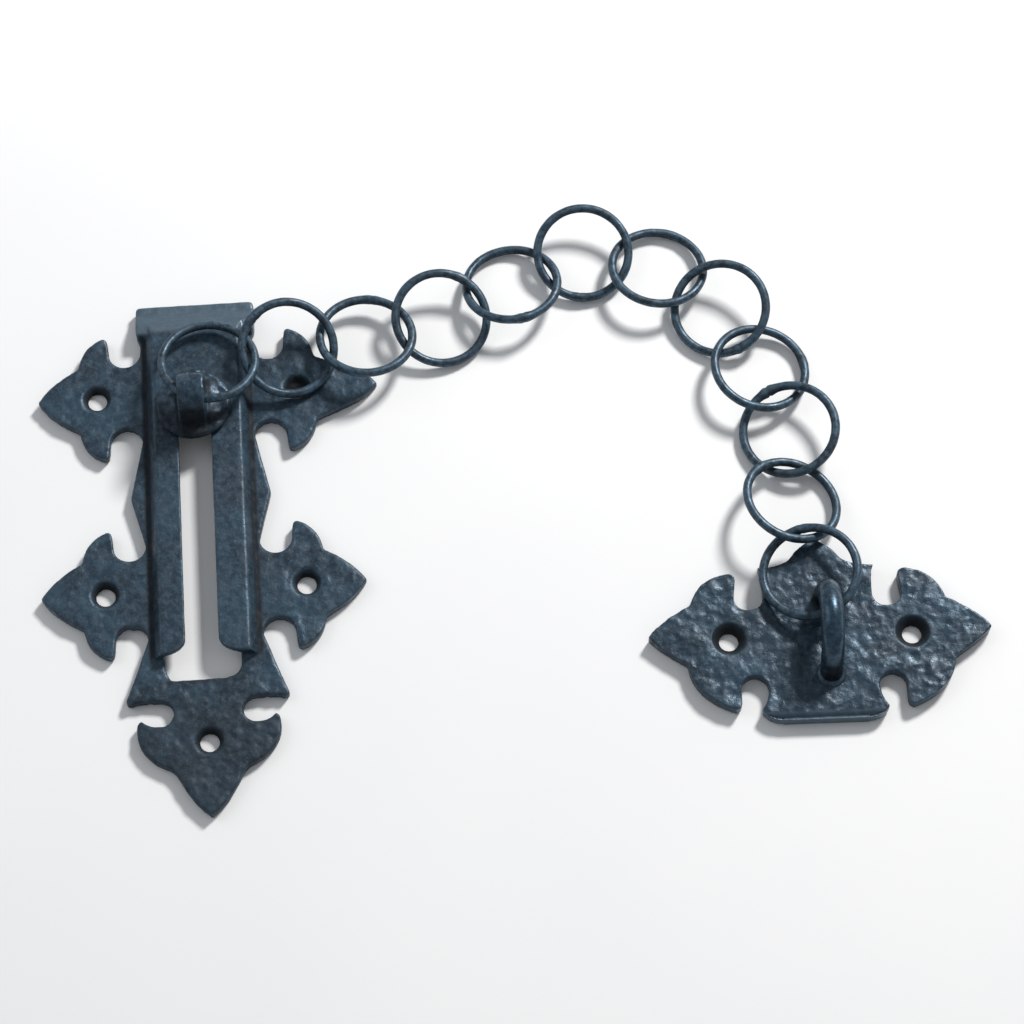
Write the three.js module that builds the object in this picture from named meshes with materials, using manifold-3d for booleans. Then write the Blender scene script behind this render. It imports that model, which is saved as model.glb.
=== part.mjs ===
// Door security chain: a slotted track plate with a sliding eye stud, a chain of round rings,
// and a keeper plate with a staple. Millimetres, +Z up, both plates lying on their flat backs.

import * as THREE from "three";
import { mergeVertices } from "three/addons/utils/BufferGeometryUtils.js";
import Module from "manifold-3d";

const wasm = await Module();
wasm.setup();

// Where each plate lies in the shared frame: the place of its datum, and its turn about Z.
const TRACK_AT = { x: -79.45, y: -82.1, turn: 0 };
const KEEPER_AT = { x: 77.25, y: -44.5, turn: -1.7 };

// Track plate. Its datum is the bottom tip and its slot runs along Y.
const TRACK_TOP = 144;
const TRACK_HALF_WIDTH = 15.8;
const TRACK_THICKNESS = 3;
const EDGE_BEVEL = 0.5;
const WAIST = 14.8;
const SIDE_POINT = { x: 18.3, y: 88 };
const UPPER_LOBE_Y = 117.5;
const LOWER_LOBE_Y = 61.5;
const LOBE_REACH = 42;
const LONG_LOBE_REACH = 47.5;
const LOBE_NOTCH = { x: 18.9, y: 13.2, r: 4.1 };
const TAIL_NOTCH = { x: 12.2, y: 27.9, r: 3.3 };
const TRACK_HOLES = [
  { x: -26.4, y: UPPER_LOBE_Y },
  { x: 26.4, y: UPPER_LOBE_Y },
  { x: -25.4, y: LOWER_LOBE_Y },
  { x: 26.4, y: LOWER_LOBE_Y },
  { x: 0, y: 20 },
];
const SCREW_HOLE_R = 2.6;
const COUNTERSINK_R = 4;
const COUNTERSINK_DEPTH = 1.3;

// Raised channel over the slot, open at its lower end and sloped off at its top.
const CHANNEL_FACE_Z = 6.5;
const CHANNEL_BASE_HALF = 13.4;
const CHANNEL_FACE_HALF = 11.6;
const CHANNEL_BOTTOM_Y = 42.5;
const CHANNEL_SLOPE_Y = 135;
const HOLLOW_HALF = 9.6;
const HOLLOW_ROOF_Z = 4.5;
const HOLLOW_BOTTOM_Y = 38;
const HOLLOW_TOP_Y = 127;
const HOLLOW_CORNER = 2.4;
const SLOT_X = -0.8;
const SLOT_HALF = 4.2;
const SLOT_TOP_Y = 112.6;
const SLOT_MOUTH = { x: 6.4, y: 45 };

// Sliding stud: head inside the channel, neck in the slot, flange and eye outside.
const STUD_Y = 112;
const HEAD_HALF_X = 8.8;
const HEAD_HALF_Y = 5.2;
const HEAD_Z = [1, 4];
const NECK_R = 3.5;
const FLANGE_R = 10;
const FLANGE_Z = [6.8, 8.8];
const EYE_THICKNESS = 7.2;
const EYE_R = 5.6;
const EYE_CENTRE_Z = 14;
const EYE_HOLE_R = 3.3;

// Chain of round wire rings.
const RING_R = 12.2;
const WIRE_R = 1.2;
const RING_STEPS = 28;
const WIRE_STEPS = 7;

// Keeper plate. Its datum is the middle of the plate, and the staple stands along Y.
const KEEPER_THICKNESS = 3.5;
const KEEPER_HOLES = [{ x: -23.4, y: 0 }, { x: 23.6, y: 0.4 }];
const KEEPER_NOTCH = { x: 17.8, y: 12.4, r: 3.6 };
const KEEPER_LOW_NOTCH = { x: 17.6, y: -13.8, r: 3.4 };
const STAPLE_AT = { x: 2, y: 0.9 };
const STAPLE_SPAN_R = 9.6;
const STAPLE_ROD_R = 3;
const STAPLE_FOOT_Z = 0.4;
const STAPLE_SPRING_Z = 6.2;
const STAPLE_FIT = 0.08;

// Centre and axis of each ring in the shared frame, from the stud to the staple.
const RINGS = [
  { at: [-75.68, 40.14, 11.53], axis: [0.044, 0.201, 0.979] },
  { at: [-54.77, 44.02, 9.06], axis: [0.202, -0.315, 0.927] },
  { at: [-34.15, 47.28, 6.66], axis: [0.04, 0.187, 0.982] },
  { at: [-14.03, 52.15, 4.95], axis: [0.141, -0.255, 0.957] },
  { at: [5.34, 61.18, 4.31], axis: [-0.053, 0.229, 0.972] },
  { at: [25.03, 69.21, 4.74], axis: [0.011, -0.263, 0.965] },
  { at: [44.64, 63.68, 3.99], axis: [0.082, 0.192, 0.978] },
  { at: [60.11, 49.94, 5], axis: [-0.193, -0.221, 0.956] },
  { at: [69.04, 32.02, 4.15], axis: [0.177, 0.096, 0.98] },
  { at: [74.95, 13.49, 4.5], axis: [-0.228, -0.086, 0.97] },
  { at: [73.46, -7.3, 5.67], axis: [0.276, 0.191, 0.942] },
  { at: [75.85, -28.49, 7.86], axis: [-0.219, 0.017, 0.976] },
];

const IRON = { color: 0x2d343c, roughness: 0.5, metalness: 0.6 };
const WORN_IRON = { color: 0x3a424a, roughness: 0.42, metalness: 0.75 };

// --- solids -----------------------------------------------------------------

function toSolid(geometry) {
  const bare = geometry.clone();
  bare.deleteAttribute("normal");
  bare.deleteAttribute("uv");
  const merged = mergeVertices(bare, 1e-4);
  return new wasm.Manifold(
    new wasm.Mesh({
      numProp: 3,
      vertProperties: new Float32Array(merged.attributes.position.array),
      triVerts: new Uint32Array(merged.index.array),
    }),
  );
}

function toGeometry(solid) {
  const mesh = solid.getMesh();
  const geometry = new THREE.BufferGeometry();
  geometry.setAttribute("position", new THREE.BufferAttribute(mesh.vertProperties, 3));
  geometry.setIndex(new THREE.BufferAttribute(mesh.triVerts, 1));
  geometry.computeVertexNormals();
  return geometry;
}

// Straight prism from an outline. Outline coordinates are (y, z) along X, (z, x) along Y, (x, y) along Z.
const PRISM_AXES = {
  x: [[0, 1, 0], [0, 0, 1], [1, 0, 0]],
  y: [[0, 0, 1], [1, 0, 0], [0, 1, 0]],
  z: [[1, 0, 0], [0, 1, 0], [0, 0, 1]],
};

function prism(points, axis, from, to) {
  const shape = new THREE.Shape(points.map(([a, b]) => new THREE.Vector2(a, b)));
  const geometry = new THREE.ExtrudeGeometry(shape, { depth: to - from, bevelEnabled: false });
  geometry.translate(0, 0, from);
  const basis = PRISM_AXES[axis].map((v) => new THREE.Vector3(...v));
  geometry.applyMatrix4(new THREE.Matrix4().makeBasis(...basis));
  return toSolid(geometry);
}

// Round bar along an axis; its radius may differ at the two ends.
function round(axis, at, from, to, r, rEnd = r, sides = 20) {
  const geometry = new THREE.CylinderGeometry(rEnd, r, to - from, sides);
  if (axis === "z") geometry.rotateX(Math.PI / 2);
  if (axis === "x") geometry.rotateZ(-Math.PI / 2);
  const middle = (from + to) / 2;
  if (axis === "z") geometry.translate(at[0], at[1], middle);
  if (axis === "x") geometry.translate(middle, at[0], at[1]);
  return toSolid(geometry);
}

// Flat-backed casting: the outline with a bevelled front edge, its back at z = 0.
function casting(outline, thickness) {
  const geometry = new THREE.ExtrudeGeometry(new THREE.Shape(outline), {
    depth: thickness - EDGE_BEVEL + 2,
    bevelThickness: EDGE_BEVEL,
    bevelSize: EDGE_BEVEL,
    bevelOffset: -EDGE_BEVEL,
    bevelSegments: 1,
  });
  geometry.translate(0, 0, -2);
  return toSolid(geometry).trimByPlane([0, 0, 1], 0);
}

function screwHole({ x, y }, thickness) {
  const bore = round("z", [x, y], -1, thickness + 1, SCREW_HOLE_R);
  const from = thickness - COUNTERSINK_DEPTH;
  const slope = (COUNTERSINK_R - SCREW_HOLE_R) / COUNTERSINK_DEPTH;
  const wide = COUNTERSINK_R + slope * 0.5;
  return bore.add(round("z", [x, y], from, thickness + 0.5, SCREW_HOLE_R, wide));
}

function pointsOf(draw, divisions = 5) {
  const path = new THREE.Path();
  draw(path);
  return path.getPoints(divisions);
}

const movedUp = (points, y) => points.map((p) => new THREE.Vector2(p.x, p.y + y));
const flippedX = (points) => points.map((p) => new THREE.Vector2(-p.x, p.y)).reverse();
const flippedY = (points) => points.map((p) => new THREE.Vector2(p.x, -p.y)).reverse();

// --- track plate ------------------------------------------------------------

// Upper half of one side lobe, from the plate's waist round the notch and barb to the tip.
function halfLobe(reach) {
  const { x, y, r } = LOBE_NOTCH;
  return pointsOf((p) => {
    p.moveTo(WAIST, y);
    p.absarc(x, y, r, Math.PI, 2 * Math.PI, false);
    p.lineTo(23.3, 16.6);
    p.quadraticCurveTo(23.5, 17.8, 24.8, 17.7);
    p.quadraticCurveTo(30.4, 15.6, 31.2, 9.2);
    p.bezierCurveTo(34.2, 7.6, reach - 3.2, 5, reach, 0);
  });
}

function lobe(centreY, reach) {
  const upper = halfLobe(reach);
  return movedUp([...upper, ...flippedY(upper).slice(1)], centreY);
}

// Right side of the plate from its top middle down to the bottom tip.
function trackSide(upperReach) {
  const top = pointsOf((p) => {
    p.moveTo(0, TRACK_TOP);
    p.lineTo(TRACK_HALF_WIDTH - 1.5, TRACK_TOP);
    p.quadraticCurveTo(TRACK_HALF_WIDTH, TRACK_TOP, TRACK_HALF_WIDTH, TRACK_TOP - 1.5);
    p.lineTo(TRACK_HALF_WIDTH, TRACK_TOP - 7.5);
  });
  const tail = pointsOf((p) => {
    p.moveTo(16.6, 43.5);
    p.quadraticCurveTo(18, 39, 20.9, 31.8);
    p.lineTo(20.2, 30.6);
    p.quadraticCurveTo(16, 31.8, TAIL_NOTCH.x, TAIL_NOTCH.y + TAIL_NOTCH.r);
    p.absarc(TAIL_NOTCH.x, TAIL_NOTCH.y, TAIL_NOTCH.r, Math.PI / 2, Math.PI * 1.5, false);
    p.quadraticCurveTo(15.4, 24.6, 16.9, 26.4);
    p.quadraticCurveTo(18, 26.4, 18.3, 24.6);
    p.quadraticCurveTo(19, 16.4, 9.6, 12.6);
    p.bezierCurveTo(7.2, 10, 5.6, 3.6, 0, 0);
  });
  const sidePoint = new THREE.Vector2(SIDE_POINT.x, SIDE_POINT.y);
  return [...top, ...lobe(UPPER_LOBE_Y, upperReach), sidePoint, ...lobe(LOWER_LOBE_Y, LOBE_REACH), ...tail];
}

function channelBlock() {
  const section = [
    [0, -CHANNEL_BASE_HALF],
    [TRACK_THICKNESS, -CHANNEL_BASE_HALF],
    [CHANNEL_FACE_Z - 0.7, -CHANNEL_FACE_HALF - 0.5],
    [CHANNEL_FACE_Z, -CHANNEL_FACE_HALF + 0.3],
    [CHANNEL_FACE_Z, CHANNEL_FACE_HALF - 0.3],
    [CHANNEL_FACE_Z - 0.7, CHANNEL_FACE_HALF + 0.5],
    [TRACK_THICKNESS, CHANNEL_BASE_HALF],
    [0, CHANNEL_BASE_HALF],
  ];
  const profile = [
    [CHANNEL_BOTTOM_Y, 0],
    [TRACK_TOP - 1, 0],
    [TRACK_TOP - 1, TRACK_THICKNESS - 0.8],
    [CHANNEL_SLOPE_Y, CHANNEL_FACE_Z],
    [CHANNEL_BOTTOM_Y, CHANNEL_FACE_Z],
  ];
  const along = prism(section, "y", CHANNEL_BOTTOM_Y, TRACK_TOP);
  return along.intersect(prism(profile, "x", -20, 20));
}

// Space for the stud's head behind the face, running down into the entry opening.
function channelHollow() {
  const corner = pointsOf((p) => {
    p.moveTo(HOLLOW_HALF, HOLLOW_TOP_Y);
    p.lineTo(HOLLOW_HALF, HOLLOW_BOTTOM_Y + HOLLOW_CORNER);
    p.quadraticCurveTo(HOLLOW_HALF, HOLLOW_BOTTOM_Y, HOLLOW_HALF - HOLLOW_CORNER, HOLLOW_BOTTOM_Y);
  });
  const outline = [...corner, ...flippedX(corner)].map((p) => [p.x, p.y]);
  return prism(outline, "z", -1, HOLLOW_ROOF_Z);
}

// Slot through the face, round at the top and flared at its open lower end.
function channelSlot() {
  const side = pointsOf((p) => {
    p.moveTo(SLOT_MOUTH.x, CHANNEL_BOTTOM_Y - 1);
    p.lineTo(SLOT_MOUTH.x, CHANNEL_BOTTOM_Y);
    p.quadraticCurveTo(SLOT_HALF, CHANNEL_BOTTOM_Y + 0.6, SLOT_HALF, SLOT_MOUTH.y);
    p.absarc(0, SLOT_TOP_Y, SLOT_HALF, 0, Math.PI / 2, false);
  });
  const outline = [...side, ...flippedX(side).slice(1)].map((p) => [p.x, p.y]);
  return prism(outline, "z", HOLLOW_ROOF_Z - 1, CHANNEL_FACE_Z + 1);
}

function trackPlate() {
  const right = trackSide(LONG_LOBE_REACH);
  const left = flippedX(trackSide(LOBE_REACH));
  let plate = casting([...right, ...left.slice(1, -1)], TRACK_THICKNESS);
  plate = plate.add(channelBlock());
  const cut = channelHollow().add(channelSlot()).translate([SLOT_X, 0, 0]);
  plate = plate.subtract(cut);
  for (const hole of TRACK_HOLES) plate = plate.subtract(screwHole(hole, TRACK_THICKNESS));
  return plate;
}

// --- sliding stud -----------------------------------------------------------

function sliderStud() {
  const head = prism(
    [
      [-HEAD_HALF_X, STUD_Y - HEAD_HALF_Y],
      [HEAD_HALF_X, STUD_Y - HEAD_HALF_Y],
      [HEAD_HALF_X, STUD_Y + HEAD_HALF_Y],
      [-HEAD_HALF_X, STUD_Y + HEAD_HALF_Y],
    ],
    "z",
    ...HEAD_Z,
  );
  const neck = round("z", [0, STUD_Y], HEAD_Z[0] + 1, FLANGE_Z[1] - 1, NECK_R);
  const rim = FLANGE_Z[1] - 0.6;
  const disc = round("z", [0, STUD_Y], FLANGE_Z[0], rim, FLANGE_R, FLANGE_R, 28);
  const dome = round("z", [0, STUD_Y], rim, FLANGE_Z[1], FLANGE_R, FLANGE_R - 0.8, 28);
  const half = EYE_THICKNESS / 2;
  const crown = round("x", [STUD_Y, EYE_CENTRE_Z], -half, half, EYE_R, EYE_R, 24);
  const stem = prism(
    [
      [STUD_Y - EYE_R - 0.4, FLANGE_Z[1] - 0.5],
      [STUD_Y + EYE_R + 0.4, FLANGE_Z[1] - 0.5],
      [STUD_Y + EYE_R - 0.05, EYE_CENTRE_Z],
      [STUD_Y - EYE_R + 0.05, EYE_CENTRE_Z],
    ],
    "x",
    -half,
    half,
  );
  const hole = round("x", [STUD_Y, EYE_CENTRE_Z], -half - 1, half + 1, EYE_HOLE_R, EYE_HOLE_R, 20);
  return head.add(neck).add(disc).add(dome).add(crown).add(stem).subtract(hole);
}

// --- chain ------------------------------------------------------------------

function ring({ at, axis }) {
  const geometry = new THREE.TorusGeometry(RING_R, WIRE_R, WIRE_STEPS, RING_STEPS);
  const up = new THREE.Vector3(0, 0, 1);
  const turn = new THREE.Quaternion().setFromUnitVectors(up, new THREE.Vector3(...axis).normalize());
  geometry.applyQuaternion(turn);
  geometry.translate(...at);
  return toSolid(geometry);
}

// --- keeper plate and staple ------------------------------------------------

// Right side of the keeper plate from the leaf tip down to the middle of the bottom edge.
function keeperSide() {
  return pointsOf((p) => {
    p.moveTo(0, 28.2);
    p.quadraticCurveTo(4.2, 26.6, 6.6, 22.8);
    p.quadraticCurveTo(9.6, 20.6, 15.2, 20.6);
    p.quadraticCurveTo(14.2, 19.4, 14.2, 15);
    p.lineTo(14.2, KEEPER_NOTCH.y);
    p.absarc(KEEPER_NOTCH.x, KEEPER_NOTCH.y, KEEPER_NOTCH.r, Math.PI, 2 * Math.PI, false);
    p.lineTo(20.8, 17.2);
    p.quadraticCurveTo(20.6, 19, 22.4, 19.4);
    p.quadraticCurveTo(30.8, 18.6, 33, 10.8);
    p.bezierCurveTo(36.6, 8.8, 41.2, 5, 44.2, 1.2);
    p.bezierCurveTo(41.6, -2, 37.6, -4.4, 34.4, -6.6);
    p.quadraticCurveTo(33.6, -15.4, 23, -19.4);
    p.quadraticCurveTo(21.2, -19.6, 21, -17.4);
    p.lineTo(21, KEEPER_LOW_NOTCH.y);
    p.absarc(KEEPER_LOW_NOTCH.x, KEEPER_LOW_NOTCH.y, KEEPER_LOW_NOTCH.r, 0, Math.PI, false);
    p.quadraticCurveTo(14.4, -17.4, 16.4, -19.6);
    p.quadraticCurveTo(14.4, -22.8, 10.6, -22.8);
    p.lineTo(0, -22.8);
  });
}

function keeperPlate() {
  const right = keeperSide();
  const left = flippedX(right);
  let plate = casting([...right, ...left.slice(1, -1)], KEEPER_THICKNESS);
  for (const hole of KEEPER_HOLES) plate = plate.subtract(screwHole(hole, KEEPER_THICKNESS));
  for (const side of [-1, 1]) {
    const foot = [STAPLE_AT.x, STAPLE_AT.y + side * STAPLE_SPAN_R];
    const r = STAPLE_ROD_R + STAPLE_FIT + 0.12;
    plate = plate.subtract(round("z", foot, STAPLE_FOOT_Z - STAPLE_FIT, 10, r, r, 16));
  }
  return plate;
}

// Bent rod standing in the plate: two legs and a half-round top.
function staple() {
  const points = [new THREE.Vector3(0, -STAPLE_SPAN_R, STAPLE_FOOT_Z)];
  points.push(new THREE.Vector3(0, -STAPLE_SPAN_R, STAPLE_SPRING_Z - 1.5));
  const bends = 8;
  for (let i = 0; i <= bends; i += 1) {
    const angle = Math.PI - (Math.PI * i) / bends;
    const y = STAPLE_SPAN_R * Math.cos(angle);
    const z = STAPLE_SPRING_Z + STAPLE_SPAN_R * Math.sin(angle);
    points.push(new THREE.Vector3(0, y, z));
  }
  points.push(new THREE.Vector3(0, STAPLE_SPAN_R, STAPLE_SPRING_Z - 1.5));
  points.push(new THREE.Vector3(0, STAPLE_SPAN_R, STAPLE_FOOT_Z));
  const section = new THREE.Shape();
  section.absarc(0, 0, STAPLE_ROD_R, 0, 2 * Math.PI, false);
  const geometry = new THREE.ExtrudeGeometry(section, {
    steps: 28,
    curveSegments: 12,
    extrudePath: new THREE.CatmullRomCurve3(points),
  });
  geometry.translate(STAPLE_AT.x, STAPLE_AT.y, 0);
  return toSolid(geometry);
}

// --- assembly ---------------------------------------------------------------

function placed(solid, { x, y, turn }) {
  return solid.rotate([0, 0, turn]).translate([x, y, 0]);
}

function node(name, solid, look) {
  const mesh = new THREE.Mesh(toGeometry(solid), new THREE.MeshStandardMaterial(look));
  mesh.name = name;
  return mesh;
}

const chain = new THREE.Group();
chain.name = "door_chain";
chain.add(node("track_plate", placed(trackPlate(), TRACK_AT), IRON));
chain.add(node("slider_stud", placed(sliderStud().translate([SLOT_X, 0, 0]), TRACK_AT), WORN_IRON));
RINGS.forEach((place, index) => {
  const number = String(index + 1).padStart(2, "0");
  chain.add(node(`ring_${number}`, ring(place), WORN_IRON));
});
chain.add(node("keeper_plate", placed(keeperPlate(), KEEPER_AT), IRON));
chain.add(node("staple", placed(staple(), KEEPER_AT), WORN_IRON));

export default chain;
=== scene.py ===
"""Door security chain in cast iron: a slotted track plate with its sliding stud, twelve wire rings,
and a keeper plate with a staple. Each piece stands for the CAD node of the same name."""

import math

import bmesh
import bpy
import numpy as np
from mathutils import Matrix, Vector, noise


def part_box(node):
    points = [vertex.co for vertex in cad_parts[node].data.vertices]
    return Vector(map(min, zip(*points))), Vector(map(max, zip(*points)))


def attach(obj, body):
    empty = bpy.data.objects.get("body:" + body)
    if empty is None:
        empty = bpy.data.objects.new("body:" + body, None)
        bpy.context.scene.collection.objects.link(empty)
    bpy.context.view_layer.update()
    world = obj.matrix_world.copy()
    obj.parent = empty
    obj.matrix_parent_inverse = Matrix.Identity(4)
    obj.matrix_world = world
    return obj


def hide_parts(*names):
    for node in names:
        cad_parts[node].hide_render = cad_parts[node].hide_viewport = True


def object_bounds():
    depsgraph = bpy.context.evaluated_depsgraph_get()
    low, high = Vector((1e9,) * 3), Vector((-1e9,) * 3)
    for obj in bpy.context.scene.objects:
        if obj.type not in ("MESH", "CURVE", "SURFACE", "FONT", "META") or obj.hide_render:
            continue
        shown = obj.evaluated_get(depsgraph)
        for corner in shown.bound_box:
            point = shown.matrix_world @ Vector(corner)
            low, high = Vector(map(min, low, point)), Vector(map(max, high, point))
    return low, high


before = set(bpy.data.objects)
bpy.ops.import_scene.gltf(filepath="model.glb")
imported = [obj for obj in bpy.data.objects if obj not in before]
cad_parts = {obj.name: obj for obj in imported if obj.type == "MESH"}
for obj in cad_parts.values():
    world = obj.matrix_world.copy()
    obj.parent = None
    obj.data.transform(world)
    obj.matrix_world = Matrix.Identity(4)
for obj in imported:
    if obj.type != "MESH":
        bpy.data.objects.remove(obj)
CAD_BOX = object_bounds()

bl_info = {
    "name": "Door Security Chain",
    "version": (1, 0, 0),
    "blender": (4, 5, 0),
    "location": "View3D > Sidebar > Door Chain",
    "description": "Builds a cast iron door chain: track plate, stud, rings, keeper plate and staple",
    "category": "Object",
}

# Shapes are drawn in millimetres and settled in the frame in metres.
MM = 0.001

# Track plate: its datum is the bottom tip, and its slot runs along Y.
TRACK_TOP = 144.0
TRACK_HALF_WIDTH = 15.8
WAIST = 14.8
SIDE_POINT = (18.3, 88.0)
UPPER_LOBE_Y = 117.5
LOWER_LOBE_Y = 61.5
LOBE_REACH = 42.0
LONG_LOBE_REACH = 47.5
TRACK_HOLES = [(-26.4, 117.5), (26.4, 117.5), (-25.4, 61.5), (26.4, 61.5), (0.0, 20.0)]
CHANNEL_BOTTOM_Y = 42.5
CHANNEL_TOP_Y = 143.0
CHANNEL_SLOPE_Y = 135.0
CHANNEL_BASE_HALF = 13.4
CHANNEL_FACE_HALF = 11.6
CHANNEL_FOOT_Z = 3.0
SLOPE_FOOT_Z = 2.2
ENTRY_END_Y = 36.9
HOLLOW_HALF = 9.6
HOLLOW_ROOF = 4.5
HOLLOW_TOP_Y = 127.0
SLOT_X = -0.8
SLOT_HALF = 4.2
SLOT_TOP_Y = 112.6
STUD_Y = 112.0
SHOULDER_TOP = 5.0
SHOULDER_START = 134.2
CAST_NUB = (-18.4, 53.0)
BLIND_HOLE = (26.4, 117.5)
BLIND_WEB = 0.9

# Sliding stud: its datum is on the plate's back, under the middle of its eye.
STUD_HEAD = (17.6, 10.4, 3.0)
STUD_HEAD_Z = 2.5
EYE_Z = 14.0
EYE_RADIUS = 5.6
EYE_BORE = 3.6
EYE_ROUNDING = 0.75
FLANGE_PROFILE = [
    (0, 2), (3.5, 2), (3.5, 6.8), (9.2, 6.8), (9.75, 7.0), (10, 7.6), (9.8, 8.3),
    (9.1, 8.75), (7.6, 8.8), (6.2, 9.1), (4.8, 9.7), (0, 9.9),
]

# Keeper plate: its datum is the middle of the plate, and the staple stands along Y.
KEEPER_TURN = math.radians(-1.7)
KEEPER_DROP = 1.2
KEEPER_HOLES = [(-23.4, 0.0), (23.6, 0.4)]
STAPLE_AT = (2.0, 0.9)
STAPLE_FOOT = 0.4
STAPLE_SPRING = 6.2
STAPLE_FLARE = 1.6

# Lump left where each ring's wire was closed: its angle round the ring, and how proud it stands.
RING_CLOSURES = [
    (250, 0.10), (138, 0.30), (80, 0.14), (62, 0.18), (282, 0.32), (262, 0.16),
    (70, 0.14), (292, 0.30), (10, 0.16), (112, 0.42), (128, 0.34), (95, 0.18),
]

# Places of the lights in metres, and the colour of soft daylight.
KEY_PLACE = (0.60, 0.72, 0.78)
FILL_PLACE = (-0.8, 0.3, 0.7)
DAYLIGHT = (0.93, 0.96, 1.0)


# --- strokes and solids -------------------------------------------------------


class Outline:
    """A line drawn with straight and curved strokes, each kept as the four points of a Bezier."""

    def __init__(self, x, y):
        self.at = Vector((x, y))
        self.strokes = []

    def curve(self, x1, y1, x2, y2, x, y):
        end = Vector((x, y))
        self.strokes.append((self.at, Vector((x1, y1)), Vector((x2, y2)), end))
        self.at = end
        return self

    def line(self, x, y):
        a, b = self.at, Vector((x, y))
        third = (b - a) / 3
        return self.curve(*(a + third), *(b - third), x, y)

    def bend(self, cx, cy, x, y):
        a, c, b = self.at, Vector((cx, cy)), Vector((x, y))
        return self.curve(*(a + (c - a) * 2 / 3), *(b + (c - b) * 2 / 3), x, y)

    def arc(self, cx, cy, r, start, end):
        """Round centre (cx, cy) from one angle to the other, in degrees."""
        steps = max(1, round(abs(end - start) / 60))
        part = math.radians(end - start) / steps
        reach = r * 4 / 3 * math.tan(part / 4)
        for i in range(steps):
            a = math.radians(start) + i * part
            b = a + part
            p = Vector((cx + r * math.cos(a), cy + r * math.sin(a)))
            q = Vector((cx + r * math.cos(b), cy + r * math.sin(b)))
            if (p - self.at).length > 1e-4:
                self.line(*p)
            c1 = p + Vector((-math.sin(a), math.cos(a))) * reach
            c2 = q - Vector((-math.sin(b), math.cos(b))) * reach
            self.curve(*c1, *c2, *q)
        return self

    def follow(self, strokes):
        """Goes straight to the start of other strokes and then along them."""
        if (strokes[0][0] - self.at).length > 1e-4:
            self.line(*strokes[0][0])
        self.strokes.extend(strokes)
        self.at = strokes[-1][3]
        return self


def mirrored(strokes, across_x=False, across_y=False, up=0.0):
    """The same strokes reflected and drawn from the other end, or only moved up."""
    flip = Vector((-1.0 if across_x else 1.0, -1.0 if across_y else 1.0))
    lift = Vector((0.0, up))
    moved = [tuple(p * flip + lift for p in s) for s in strokes]
    if across_x != across_y:
        moved = [tuple(reversed(s)) for s in reversed(moved)]
    return moved


def circle(x, y, r):
    """Strokes of a whole circle, drawn anticlockwise."""
    return Outline(x + r, y).arc(x, y, r, 0, 360).strokes


def linked(name, data):
    """A new object in the scene for a mesh, curve, light or camera."""
    obj = bpy.data.objects.new(name, data)
    bpy.context.scene.collection.objects.link(obj)
    return obj


def solid(name, bm):
    """An object from a bmesh, with its doubles merged and its faces turned outwards."""
    bmesh.ops.remove_doubles(bm, verts=bm.verts, dist=1e-4)
    bmesh.ops.recalc_face_normals(bm, faces=bm.faces)
    mesh = bpy.data.meshes.new(name)
    bm.to_mesh(mesh)
    bm.free()
    return linked(name, mesh)


def made_real(obj):
    """Turns the object's curve and modifiers into its plain mesh."""
    graph = bpy.context.evaluated_depsgraph_get()
    mesh = bpy.data.meshes.new_from_object(obj.evaluated_get(graph))
    name = obj.name
    bpy.data.objects.remove(obj)
    mesh.name = name
    return linked(name, mesh)


def drawn_solid(name, loops, low, high, rounding=0.0):
    """Fills closed outlines, with holes where they lie inside each other, and gives them thickness."""
    curve = bpy.data.curves.new(name, "CURVE")
    curve.dimensions = "2D"
    curve.fill_mode = "BOTH"
    curve.resolution_u = 8
    curve.extrude = (high - low) / 2 - rounding
    curve.offset = -rounding
    curve.bevel_depth = rounding
    curve.bevel_resolution = 3
    for strokes in loops:
        spline = curve.splines.new("BEZIER")
        spline.bezier_points.add(len(strokes) - 1)
        spline.use_cyclic_u = True
        for i, (a, c1, _, _) in enumerate(strokes):
            point = spline.bezier_points[i]
            point.handle_left_type = point.handle_right_type = "FREE"
            point.co = a.to_3d()
            point.handle_right = c1.to_3d()
            point.handle_left = strokes[i - 1][2].to_3d()
    drawn = made_real(linked(name, curve))
    bm = bmesh.new()
    bm.from_mesh(drawn.data)
    bmesh.ops.translate(bm, verts=bm.verts, vec=(0, 0, (low + high) / 2))
    bpy.data.objects.remove(drawn)
    return solid(name, bm)


def turned_solid(name, profile, at=(0, 0), steps=48):
    """Turns a closed profile of (radius, height) points round the vertical line at a place."""
    bm = bmesh.new()
    verts = [bm.verts.new((r, 0, z)) for r, z in profile]
    for a, b in zip(verts, verts[1:]):
        bm.edges.new((a, b))
    bmesh.ops.spin(
        bm, geom=bm.verts[:] + bm.edges[:], cent=(0, 0, 0), axis=(0, 0, 1),
        angle=math.tau, steps=steps, use_merge=True,
    )
    bmesh.ops.translate(bm, verts=bm.verts, vec=(*at, 0))
    return solid(name, bm)


def combined(obj, tool, operation):
    """Cuts a tool out of the object, or fuses it on, and removes the tool."""
    modifier = obj.modifiers.new(operation, "BOOLEAN")
    modifier.operation = operation
    modifier.object = tool
    modifier.solver = "EXACT"
    bpy.context.view_layer.update()
    result = made_real(obj)
    bpy.data.objects.remove(tool)
    return result


def screw_cutter(name, at, thickness, bottom=-2.0, bore=2.4, sink=3.8, depth=1.9):
    """Cutter for a countersunk screw hole: bore and sink are radii, and the sink goes depth down."""
    slope = (sink - bore) / depth
    profile = [
        (0, bottom), (bore, bottom), (bore, thickness - depth),
        (sink + slope, thickness + 1), (0, thickness + 1),
    ]
    return turned_solid(name, profile, at)


def joined(name, parts):
    """One mesh from several overlapping solids."""
    bm = bmesh.new()
    for part in parts:
        bm.from_mesh(part.data)
        bpy.data.objects.remove(part)
    mesh = bpy.data.meshes.new(name)
    bm.to_mesh(mesh)
    bm.free()
    return linked(name, mesh)


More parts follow.
